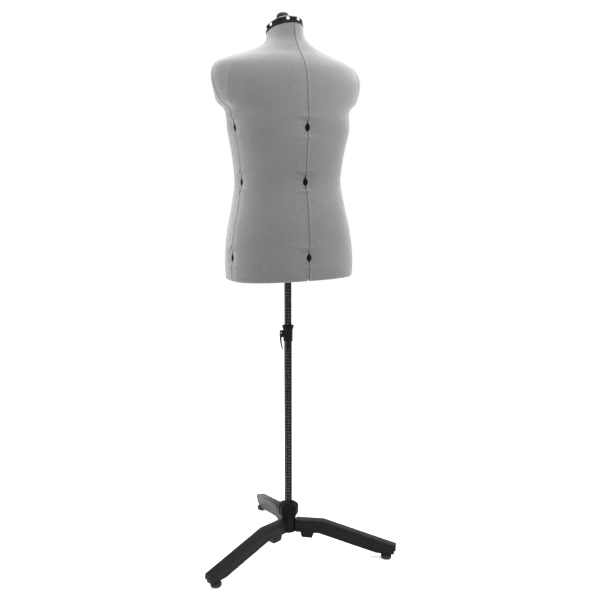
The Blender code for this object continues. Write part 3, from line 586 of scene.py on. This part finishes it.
def edge_setback(height):
    """How far the jersey's edge stands back from the seam, for openings and for the hem's notch."""
    back = 0.0
    for centre in ADJUSTER_HEIGHTS:
        f = (height - centre) / OPENING_HALF_HEIGHT
        if 0 <= f < 1:
            back += OPENING_HALF_WIDTH * (1 - f**1.5)
        elif -1 < f < 0:
            back += OPENING_HALF_WIDTH * (1 - abs(f) ** 2.3) ** 0.8
        back += 0.7 * MM * math.exp(-(((height - centre - 15 * MM) / (5 * MM)) ** 2))
    return back + 4.6 * MM * math.exp(-(height - HEM_HEIGHT) / (4.2 * MM))


def wheel_lean(level, height, end):
    """How far the jersey also stands back where the side seam leans in over an upright wheel."""
    lean = 0.0
    for row in ADJUSTERS.values():
        share = min(max((17 * MM - abs(height - SECTIONS[row][0])) / (4 * MM), 0.0), 1.0)
        lean += share * max(end * (SECTIONS[row][4] - smooth_rows(level)[4]), 0.0)
    return lean


def cover_levels():
    """Levels of the cover's rows, closer together at the hem and at the adjusters."""
    table = np.linspace(0.0, COVER_TOP, 2000)
    heights = np.array([smooth_rows(level)[0] for level in table])
    height, out = HEM_HEIGHT, []
    while height < heights[-1] - 1.5 * MM:
        out.append(height)
        near = min(abs(height - centre) for centre in ADJUSTER_HEIGHTS)
        step = 0.9 * MM if near < 15 * MM else 2.2 * MM if near < 32 * MM else 6.0 * MM
        if height - HEM_HEIGHT < 12 * MM:
            step = min(step, 1.2 * MM)
        height += step
    out.append(heights[-1])
    return np.interp(out, heights, table), np.array(out)


def jersey_lift(grid, heights, from_side, from_centre, seed):
    """Small relief of the stretched jersey: creases at the adjusters, tension lines and slack."""
    lift = np.zeros(grid.shape[:2])
    rows = heights[:, None]
    for seam, distance in enumerate((from_side, from_centre)):
        for k, centre in enumerate(ADJUSTER_HEIGHTS):
            rise = rows - centre
            vary = 0.75 + 0.5 * math.sin(2.3 * seed + 1.7 * seam + 2.9 * k) ** 2
            for height, at_rise, slope, width, reach in CREASES:
                off = rise - at_rise * MM - slope * distance
                lift += height * MM * vary * bell(off, width * MM) * bell(distance, reach * MM)
            lift -= DIMPLE * bell(np.hypot(rise, 0.7 * distance), 21 * MM)
            for slope in (-0.75, -0.2, 0.35, 0.8):
                tilt = slope + 0.3 * math.sin(5.1 * k + 3.3 * seed + 7.0 * slope)
                ray = rise - tilt * distance
                reach = np.clip(distance / (12 * MM), 0, 1) * bell(distance, 42 * MM)
                lift -= 0.35 * MM * vary * bell(ray, 3.5 * MM) * reach
        lift += 0.45 * MM * bell(distance - 4 * MM, 3.2 * MM)
        lift -= 0.25 * MM * bell(distance - 11 * MM, 3.0 * MM)
    # The arm stub's end: a flat face with a soft rim. Under the arm the jersey bridges the hollow.
    rim = (22 + 48 * np.clip((rows - RIM_LOW) / 0.085, 0, 1) ** 0.6) * MM
    on_stub = np.clip((rows - STUB_LOW) / 0.025, 0, 1) * np.clip((STUB_HIGH - rows) / 0.03, 0, 1)
    lift += 2.6 * MM * bell(from_side - rim, 6 * MM) * on_stub
    lift += 0.8 * MM * bell(from_side - rim - 24 * MM, 30 * MM) * bell(rows - UNDERARM, 40 * MM)
    for i in range(grid.shape[0]):
        for j in range(grid.shape[1]):
            at = Vector(grid[i, j])
            lift[i, j] += 0.55 * MM * noise.noise(at * 11.0)
            lift[i, j] += 0.14 * MM * noise.noise(at * 60.0)
    # The jersey lies on the shell, so it can't sink further than the foam behind it gives.
    return np.maximum(lift, -FOAM_GIVE)


def cover_points(side, end):
    """Points of one quarter's cover, from its turned-in hem up, and their places on the cloth."""
    levels, heights = cover_levels()
    inset = np.array([d * MM for d, _ in EDGE])
    deep = np.array([h for _, h in EDGE])
    setback = {level: edge_setback(height) for level, height in zip(levels, heights)}
    lean = {level: wheel_lean(level, height, end) for level, height in zip(levels, heights)}

    def places(level, length):
        start = setback[level] + lean[level] + inset
        stop = length - setback[level] - inset[::-1]
        middle = np.linspace(start[-1], stop[0], MIDDLE_COLUMNS + 2)[1:-1]
        return np.concatenate([start, middle, stop])

    grid, normals, lengths = skin_grid(levels, places, side, end)
    columns = np.array([places(level, length) for level, length in zip(levels, lengths)])
    from_side = np.maximum(columns, 0.0)
    from_centre = np.maximum(lengths[:, None] - columns, 0.0)
    seed = 1.0 * side + 0.37 * end
    lift = jersey_lift(grid, heights, from_side, from_centre, seed)
    rises = np.min([np.abs(heights - centre) for centre in ADJUSTER_HEIGHTS], axis=0)
    wrap = WRAP + (WRAP_AT_WHEEL - WRAP) * np.clip((19 * MM - rises) / (4 * MM), 0, 1)
    count = len(EDGE)
    lift[:, :count] += deep[None, :] * wrap[:, None]
    lift[:, -count:] += deep[None, ::-1] * wrap[:, None]
    over_hem = heights - HEM_HEIGHT
    to_go = np.maximum(HEM_RADIUS - over_hem, 0)
    roll = HEM_RADIUS - np.sqrt(np.maximum(HEM_RADIUS**2 - to_go**2, 0))
    lift -= roll[:, None]
    lift -= 0.5 * MM * bell(over_hem - 17 * MM, 1.8 * MM)[:, None]
    points = grid + normals * lift[:, :, None]
    inner = [
        grid[0] - normals[0] * sink * MM + np.array([0.0, 0.0, rise * MM]) for rise, sink in TURNED_IN
    ]
    points = np.concatenate([np.array(inner), points], axis=0)
    across = np.concatenate([np.repeat(columns[:1], len(inner), axis=0), columns], axis=0)
    upward = np.concatenate([HEM_HEIGHT - np.arange(len(inner), 0, -1) * 5 * MM, heights])
    return points, across, upward


def jersey_cover(name, side, end):
    """One quarter's jersey: wrapped over the seams' edges, with openings and a turned-in hem."""
    points, across, upward = cover_points(side, end)
    tall, wide = points.shape[:2]
    flat = [tuple(p) for p in points.reshape(-1, 3)]
    faces = []
    for i in range(tall - 1):
        for j in range(wide - 1):
            a = i * wide + j
            corners = [a, a + 1, a + wide + 1, a + wide]
            faces.append(corners if side * end > 0 else corners[::-1])
    mesh = bpy.data.meshes.new(f"fabric_cover_{name}")
    mesh.from_pydata(flat, [], faces)
    mesh.polygons.foreach_set("use_smooth", [True] * len(mesh.polygons))
    layer = mesh.uv_layers.new(name="cloth")
    uv = np.zeros((len(mesh.loops), 2))
    index = np.array([loop.vertex_index for loop in mesh.loops])
    uv[:, 0] = across.reshape(-1)[index] * side * end
    uv[:, 1] = np.repeat(upward, wide)[index]
    layer.data.foreach_set("uv", uv.ravel())
    mesh.materials.append(JERSEY)
    piece = bpy.data.objects.new(f"fabric_cover_{name}", mesh)
    bpy.context.scene.collection.objects.link(piece)
    place(piece, AT_POLE)
    settle(piece, f"panel_{name}", "grey_fabric", f"cover_{name}")


# ---------------------------------------------------------------- neck


BAND_RIBS = 30
BAND_START, BAND_STOP = BAND_ROW - 0.06, TOP_ROW


def neck_trim(name, side, end):
    """A quarter of the black neck band: moulded lips above and below fine upright ribs."""
    # Share of the band's height, and height over the skin in mm.
    outline = [
        (0.00, -2.0), (0.00, 0.2), (0.02, 0.9), (0.06, 1.3), (0.12, 1.4), (0.16, 1.1), (0.19, 0.75),
        (0.30, 0.7), (0.50, 0.7), (0.70, 0.7), (0.81, 0.75), (0.84, 1.1), (0.88, 1.4), (0.94, 1.3),
        (0.98, 0.9), (1.00, 0.2), (1.00, -2.4), (0.93, -2.6), (0.0, -2.2),
    ]
    levels = [BAND_START + (BAND_STOP - BAND_START) * min(share, 0.9999) for share, _ in outline]
    per_rib = 8
    count = BAND_RIBS * per_rib + 1

    def places(level, length):
        return np.linspace(0.25 * MM, length - 0.25 * MM, count)

    share_along = np.linspace(0, 1, count)
    grid, normals, _ = skin_grid(levels, places, side, end)
    points = []
    for row, (share, lift) in enumerate(outline):
        ribs = 0.0
        if 0.18 < share < 0.82 and lift > 0:
            ribs = 0.42 * MM * (np.cos(2 * math.pi * BAND_RIBS * share_along) > 0.1)
        raise_by = lift * MM + ribs
        points.append(grid[row] + normals[row] * np.reshape(raise_by * np.ones(count), (-1, 1)))
    points = np.array(points)
    tall = len(outline)
    flat = [tuple(p) for p in points.reshape(-1, 3)]
    faces = []
    for i in range(tall):
        for j in range(count - 1):
            a, b = i * count + j, ((i + 1) % tall) * count + j
            faces.append([a, a + 1, b + 1, b])
    faces.append([i * count for i in range(tall)])
    faces.append([i * count + count - 1 for i in range(tall)][::-1])
    piece = new_mesh_object(f"neck_trim_{name}", flat, faces, BAND, 30.0)
    place(piece, AT_POLE)
    settle(piece, f"panel_{name}", "black_plastic", f"neck_band_{name}")
    middle_row = 8
    neck_studs(name, grid[middle_row], normals[middle_row])


def neck_studs(name, points, normals):
    """Two round studs on a quarter's neck band, given the band's middle row."""
    profile = fillet(
        [(0.0, 2.6 * MM), (2.0 * MM, 2.5 * MM), (4.3 * MM, 1.7 * MM), (4.7 * MM, 0.6 * MM),
         (4.7 * MM, -0.6 * MM), (0.0, -0.6 * MM)], 0.5 * MM)
    for label, share in (("side", 0.17), ("centre", 0.83)):
        column = int(share * (len(points) - 1))
        at, out = Vector(points[column]), Vector(normals[column])
        stud = turned(f"neck_stud_{name}_{label}", profile, 28, STUD)
        turn = out.to_track_quat("Z", "Y").to_matrix().to_4x4()
        place(stud, AT_POLE @ Matrix.Translation(at + out * 0.9 * MM) @ turn)
        settle(stud, f"panel_{name}", "neck_plastic")


# The cap and the knob stand on an axis that leans forward with the neck.
NECK_CENTRE, NECK_LEAN = (0.0, -0.0218, 1.647), math.atan(0.30)
NECK_FRAME = AT_POLE @ Matrix.Translation(NECK_CENTRE) @ Matrix.Rotation(NECK_LEAN, 4, "X")
CAP_RADIUS, CAP_HEIGHT, CAP_BORE, CAP_STRETCH = 43.5 * MM, 25 * MM, 4.5 * MM, 1.20


def dome(radius, height, steps, hole):
    """Points of a shallow dome from its centre hole out to its rim at height 0."""
    ball = (radius**2 + height**2) / (2 * height)
    reach, start = math.asin(radius / ball), math.asin(hole / ball)
    angles = [start + (reach - start) * i / steps for i in range(steps + 1)]
    return [(ball * math.sin(a), height - ball * (1 - math.cos(a))) for a in angles]


def neck_cap():
    """The grey cap: a dome with a shallow step near its rim and a raised boss under the knob."""
    outer = dome(CAP_RADIUS, CAP_HEIGHT, 18, CAP_BORE)
    shaped = []
    for radius, height in outer:
        sink = 0.7 * MM * math.exp(-(((radius - 37 * MM) / (1.4 * MM)) ** 2))
        rise = 0.25 * MM if radius < 21 * MM else 0.0
        shaped.append((radius, height - sink + rise - 0.2 * MM))
    profile = shaped + [
        (CAP_RADIUS, -1.5 * MM), (CAP_RADIUS, -10 * MM), (41 * MM, -10 * MM), (41 * MM, -1 * MM),
        (30 * MM, 11 * MM), (8 * MM, 21.5 * MM), (8 * MM, -32 * MM), (CAP_BORE, -32 * MM),
    ]
    piece = turned("neck_cap_dome", profile, 96, CAP, closed=True)
    place(piece, NECK_FRAME @ Matrix.Diagonal((1.0, CAP_STRETCH, 1.0, 1.0)))
    settle(piece, "torso_frame", "neck_plastic", "neck_cap")


def neck_knob():
    """The low round knob: a fluted skirt, a sloped side, a dished top with a rim and a centre cap."""
    foot = 25.3 * MM
    flutes = 36

    def grip(angle, radius, height):
        if radius > 15.5 * MM and foot + 1.2 * MM < height < foot + 8.8 * MM:
            return radius - 0.45 * MM * (0.5 + 0.5 * math.cos(flutes * angle)) ** 2
        return radius

    over_foot = [(0.0, 9.2), (5.0, 9.2), (5.6, 8.7), (12.6, 8.6), (13.6, 10.2), (15.6, 10.4),
                 (16.6, 9.2), (17.2, 8.4), (18.2, 5.4), (19.2, 2.2), (19.4, 0.9), (19.4, 0.1),
                 (4.0, 0.1)]
    profile = [(radius * MM, foot + rise * MM) for radius, rise in over_foot]
    profile += [(4.0 * MM, -28 * MM), (0.0, -28 * MM)]
    piece = turned("neck_knob_grip", fillet(profile, 0.7 * MM, 3), 216, KNOB, radial=grip)
    place(piece, NECK_FRAME)
    settle(piece, "neck_knob", "neck_plastic", "neck_knob")


# ---------------------------------------------------------------- adjusters


def wheel_frame(seam, row):
    """An adjuster's own axes: Z along the screw towards its axle, X outwards from the torso."""
    low, back, front, half, side_y, back_y, front_y = SECTIONS[row][:7]
    if seam == "centre_back":
        at, out, along = (0, back_y, back), (0, 1, 0), (1, 0, 0)
    elif seam == "centre_front":
        at, out, along = (0, front_y, front), (0, -1, 0), (1, 0, 0)
    else:
        side = 1 if seam == "left_side" else -1
        at, out, along = (side * (half + SEAM_HALF), side_y, low), (side, 0, 0), (0, 1, 0)
    out, along = Vector(out), Vector(along)
    turn = Matrix((out, along.cross(out), along)).transposed().to_4x4()
    return AT_POLE @ Matrix.Translation(Vector(at) - out * WHEEL_DEPTH) @ turn


def make_wheels():
    """Twelve thumbwheels: a toothed rim, a dished face, an axle stub and a threaded screw."""
    rim, half = 13.4 * MM, 1.95 * MM
    teeth, pitch = 30, 1.75 * MM
    profile = [(0.0, 11.0 * MM), (2.0 * MM, 11.0 * MM), (2.4 * MM, 10.5 * MM), (2.4 * MM, 3.4 * MM),
               (4.6 * MM, 3.2 * MM), (5.0 * MM, 1.1 * MM), (10.6 * MM, 1.1 * MM), (11.2 * MM, half),
               (rim - 0.5 * MM, half), (rim, half - 0.5 * MM), (rim, -half + 0.5 * MM),
               (rim - 0.5 * MM, -half), (11.2 * MM, -half), (10.6 * MM, -1.1 * MM),
               (5.0 * MM, -1.1 * MM), (4.6 * MM, -3.2 * MM), (2.3 * MM, -3.4 * MM)]
    rings, screw = 90, 44.2 * MM
    profile += [(2.3 * MM, -3.4 * MM - screw * k / rings) for k in range(1, rings + 1)]
    profile += [(1.7 * MM, -48.0 * MM), (0.0, -48.0 * MM)]

    def cut(angle, radius, height):
        if radius > rim - 0.6 * MM:
            return radius - 0.8 * MM * (math.cos(teeth * angle) > 0.2)
        if height < -4.5 * MM and radius > 2.0 * MM:
            phase = (height / pitch + angle / (2 * math.pi)) % 1.0
            return radius - 0.45 * MM * abs(2 * phase - 1)
        return radius

    master = None
    for seam in SEAMS:
        for row_name, row in ADJUSTERS.items():
            name = f"thumbwheel_{row_name}_{seam}"
            if master is None:
                piece = master = turned(name, profile, 120, BLACK, radial=cut, smooth_angle=30.0)
            else:
                piece = bpy.data.objects.new(name, master.data)
                bpy.context.scene.collection.objects.link(piece)
            place(piece, wheel_frame(seam, row))
            settle(piece, f"wheel_{row_name}_{seam}", "black_plastic", f"wheel_{row_name}_{seam}")


# ---------------------------------------------------------------- pole


DIGIT_SIZE, DIGIT_STEP = 6.4 * MM, 3.5 * MM
# The print starts this far over a tube's end and stops this far below the other, or at the torso.
PRINT_START, PRINT_STOP, PRINT_TOP = 0.09, 0.045, 1.12


def make_poles():
    """Both tubes of the telescopic pole, with their printed numbers."""
    digits = digit_shapes()
    # Name, body, outer and inner radius, bottom and top.
    tubes = (
        ("lower", "stand", 12.0 * MM, 11.3 * MM, 0.0675, 0.731),
        ("upper", "upper_pole", 11.0 * MM, 9.8 * MM, 0.460, 1.475),
    )
    for name, body, outer, inner, bottom, top in tubes:
        profile = [(outer, top), (outer, bottom), (inner, bottom), (inner, top)]
        rounded = fillet(profile, 0.3 * MM, 3, closed=True)
        piece = turned(f"{name}_tube", rounded, 72, POLE_PAINT, closed=True)
        place(piece, AT_POLE)
        settle(piece, body, "pole_black", f"{name}_pole")
        first = math.ceil((bottom + PRINT_START) / CENTIMETRE)
        last = math.floor((min(top, PRINT_TOP) - PRINT_STOP) / CENTIMETRE)
        points, faces = [], []
        for mark in range(first, last):
            add_number(points, faces, digits, str(mark), outer, mark * CENTIMETRE)
        numbers = new_mesh_object(f"{name}_scale_numbers", points, faces, PRINT, closed=False)
        place(numbers, AT_POLE)
        settle(numbers, body, "pole_black")


def digit_shapes():
    """The ten digits as flat meshes, cut into narrow strips so that they can wrap on to a tube."""
    shapes = {}
    for digit in "0123456789":
        curve = bpy.data.curves.new("digit", "FONT")
        curve.body = digit
        curve.size = DIGIT_SIZE
        curve.resolution_u = 3
        holder = bpy.data.objects.new("digit", curve)
        bpy.context.scene.collection.objects.link(holder)
        ready = holder.evaluated_get(bpy.context.evaluated_depsgraph_get())
        mesh = bpy.data.meshes.new_from_object(ready)
        bpy.data.objects.remove(holder, do_unlink=True)
        shape = bmesh.new()
        shape.from_mesh(mesh)
        for strip in (1, 2, 3):
            everything = shape.verts[:] + shape.edges[:] + shape.faces[:]
            at = (strip * MM, 0, 0)
            bmesh.ops.bisect_plane(shape, geom=everything, plane_co=at, plane_no=(1, 0, 0))
        shape.verts.index_update()
        corners = [(v.co.x, v.co.y) for v in shape.verts]
        shapes[digit] = (corners, [[v.index for v in face.verts] for face in shape.faces])
        shape.free()
    return shapes


def add_number(points, faces, digits, text, radius, height):
    """Printed digits, wrapped on to a tube with their middle at a height."""
    for place_in_text, digit in enumerate(text):
        corners, polygons = digits[digit]
        start = len(points)
        for x, y in corners:
            angle = SCALE_TURN + (x + place_in_text * DIGIT_STEP - 0.8 * MM) / radius
            reach = radius + 0.06 * MM
            points.append((reach * math.cos(angle), reach * math.sin(angle), height + y - 2.2 * MM))
        faces += [[start + corner for corner in polygon] for polygon in polygons]


# ---------------------------------------------------------------- kept CAD nodes


def keep_cad(node, material, bevel=0.0, segments=3):
    """A CAD node that stays, with rounded edges and its own material."""
    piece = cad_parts[node]
    piece.data.materials.clear()
    piece.data.materials.append(material)
    weld = piece.modifiers.new("weld", "WELD")
    weld.merge_threshold = 1e-5
    if bevel:
        step = piece.modifiers.new("round", "BEVEL")
        step.width = bevel
        step.segments = segments
        step.limit_method = "ANGLE"
        step.angle_limit = math.radians(25.0)
        step.use_clamp_overlap = True
    for polygon in piece.data.polygons:
        polygon.use_smooth = True


# ---------------------------------------------------------------- base


def collar_nut():
    """The lobed hand nut, with rounded shoulders and a ring on top."""
    lobes, lobe_depth = 8, 4.4 * MM
    bottom, top = 0.1175, 0.160
    ring, widest = 21 * MM, 33 * MM

    def lobed(angle, radius, height):
        if radius < ring:
            return radius
        share = (radius - ring) / (widest - ring)
        wave = abs(math.sin(lobes * angle / 2)) ** 0.6
        return radius - lobe_depth * (1 - wave) * share

    profile = [(12.6 * MM, top), (19.5 * MM, top), (ring, top - 1 * MM), (22 * MM, top - 3.0 * MM),
               (28.5 * MM, top - 4.0 * MM), (32.2 * MM, top - 8.0 * MM), (widest, top - 14 * MM),
               (32.4 * MM, bottom + 8 * MM), (29.8 * MM, bottom + 2.5 * MM), (26.5 * MM, bottom),
               (19.4 * MM, bottom), (19.4 * MM, top - 8.5 * MM), (12.6 * MM, top - 8.5 * MM)]
    rounded = fillet(profile, 1.6 * MM, 4, closed=True)
    piece = turned("lobed_hand_nut", rounded, 192, BLACK, closed=True, radial=lobed)
    place(piece, AT_POLE)
    settle(piece, "collar_nut", "black_plastic", "collar_nut")


def feet():
    """Rubber feet: a stem, a sloped shoulder, a rounded pad and a tread groove."""
    profile = [(0.0, 30 * MM), (4.0 * MM, 30 * MM), (4.0 * MM, 17.6 * MM), (10.0 * MM, 17.6 * MM),
               (10.2 * MM, 14.6 * MM), (15.2 * MM, 13.0 * MM), (17.0 * MM, 10.4 * MM),
               (17.0 * MM, 7.4 * MM), (16.4 * MM, 6.8 * MM), (16.4 * MM, 6.0 * MM),
               (17.0 * MM, 5.4 * MM), (17.0 * MM, 2.6 * MM),
               (15.0 * MM, 0.0), (11.0 * MM, 0.0), (10.4 * MM, 0.8 * MM), (8.6 * MM, 0.8 * MM),
               (8.0 * MM, 0.0), (0.0, 0.0)]
    for number, turn in enumerate(LEG_TURNS, start=1):
        piece = turned(f"rubber_foot_{number}", fillet(profile, 0.8 * MM, 3), 64, RUBBER)
        at = Vector((FOOT_REACH * math.cos(turn), FOOT_REACH * math.sin(turn), 0.0))
        place(piece, AT_POLE @ Matrix.Translation(at))
        settle(piece, "stand", "rubber", f"foot_{number}")


# ---------------------------------------------------------------- assembly


for panel, (panel_side, panel_end) in PANELS.items():
    jersey_cover(panel, panel_side, panel_end)
    neck_trim(panel, panel_side, panel_end)
    keep_cad(f"shell_{panel}", SHELL)
    for height_name in ("upper", "lower"):
        keep_cad(f"{height_name}_socket_{panel}", BLACK, 1.0 * MM)
neck_cap()
neck_knob()
make_wheels()
make_poles()
collar_nut()
feet()
keep_cad("upper_carrier", CARRIER, 0.8 * MM)
keep_cad("lower_carrier", CARRIER, 0.8 * MM)
keep_cad("clamp_collar", BLACK, 0.5 * MM)
keep_cad("clamp_lever", BLACK, 0.8 * MM)
keep_cad("clamp_pin", STEEL, 0.5 * MM)
keep_cad("hub", BLACK, 1.2 * MM)
for leg_number in (1, 2, 3):
    keep_cad(f"leg_{leg_number}", LEG_BLACK, 2.2 * MM, 4)
    keep_cad(f"leg_screw_{leg_number}", STEEL, 0.5 * MM)


# ---------------------------------------------------------------- studio


def make_floor():
    """A wide pale floor, just under the feet."""
    half, low = 30, -0.5 * MM
    corners = [(-half, -half, low), (half, -half, low), (half, half, low), (-half, half, low)]
    floor = new_mesh_object("floor", corners, [[0, 1, 2, 3]], floor_paint(), closed=False)


def make_world():
    """A white room with a darker ceiling on the camera's side."""
    world = bpy.data.worlds.new("studio")
    bpy.context.scene.world = world
    world.use_nodes = True
    background = world.node_tree.nodes["Background"]
    background.inputs["Color"].default_value = (1.0, 1.0, 1.0, 1.0)
    tree = world.node_tree

    def fade(output, start, stop, high):
        """A smooth step from 0 up to high."""
        step = tree.nodes.new("ShaderNodeMapRange")
        step.interpolation_type = "SMOOTHSTEP"
        step.inputs["From Min"].default_value = start
        step.inputs["From Max"].default_value = stop
        step.inputs["To Max"].default_value = high
        tree.links.new(output, step.inputs["Value"])
        return step.outputs["Result"]

    direction = tree.nodes.new("ShaderNodeTexCoord").outputs["Generated"]
    facing = tree.nodes.new("ShaderNodeVectorMath")
    facing.operation = "DOT_PRODUCT"
    tree.links.new(direction, facing.inputs[0])
    facing.inputs[1].default_value = TOWARDS_CAMERA
    apart = tree.nodes.new("ShaderNodeSeparateXYZ")
    tree.links.new(direction, apart.inputs[0])
    shade = tree.nodes.new("ShaderNodeMath")
    shade.operation = "MULTIPLY"
    tree.links.new(fade(facing.outputs["Value"], 0.0, 0.5, 0.95), shade.inputs[0])
    tree.links.new(fade(apart.outputs["Z"], 0.30, 0.52, 1.0), shade.inputs[1])
    strength = tree.nodes.new("ShaderNodeMath")
    strength.operation = "SUBTRACT"
    strength.inputs[0].default_value = 1.0
    tree.links.new(shade.outputs["Value"], strength.inputs[1])
    tree.links.new(strength.outputs["Value"], background.inputs["Strength"])
    bpy.context.scene.view_settings.view_transform = "Standard"


def area_light(name, place_at, target, size, power):
    """A round soft light, aimed at a target."""
    data = bpy.data.lights.new(name, "AREA")
    data.shape = "DISK"
    data.size = size
    data.energy = power
    light = bpy.data.objects.new(name, data)
    bpy.context.scene.collection.objects.link(light)
    light.location = place_at
    light.rotation_euler = (target - place_at).to_track_quat("-Z", "Y").to_euler()


def make_lights():
    """Soft lights at the view's right, overhead, over the camera and at the view's left."""
    torso = POLE + UP * 1.25
    right, forward = IMAGE_RIGHT, TOWARDS_CAMERA
    area_light("key", torso + right * 1.7 - forward * 0.4 + UP * 0.8, torso, 1.4, 42.0)
    area_light("top", torso + UP * 1.5 - forward * 0.3, torso, 1.6, 30.0)
    area_light("front", torso + UP * 1.35 + forward * 0.8, torso + UP * 0.35, 0.8, 17.0)
    area_light("left", torso - right * 1.8 + forward * 0.1 + UP * 0.3, torso, 1.4, 25.0)


def make_camera():
    """The camera, at the fitted place and angle."""
    data = bpy.data.cameras.new("camera")
    data.lens = VIEW_LENS
    data.sensor_width = 36.0
    camera = bpy.data.objects.new("camera", data)
    bpy.context.scene.collection.objects.link(camera)
    level = -math.sin(VIEW_YAW) * IMAGE_RIGHT - math.cos(VIEW_YAW) * TOWARDS_CAMERA
    forward = math.cos(VIEW_PITCH) * level - math.sin(VIEW_PITCH) * UP
    camera.location = POLE + VIEW_DISTANCE * TOWARDS_CAMERA + VIEW_HEIGHT * UP
    camera.rotation_euler = forward.to_track_quat("-Z", "Y").to_euler()
    bpy.context.scene.camera = camera


make_floor()
make_world()
make_lights()
make_camera()
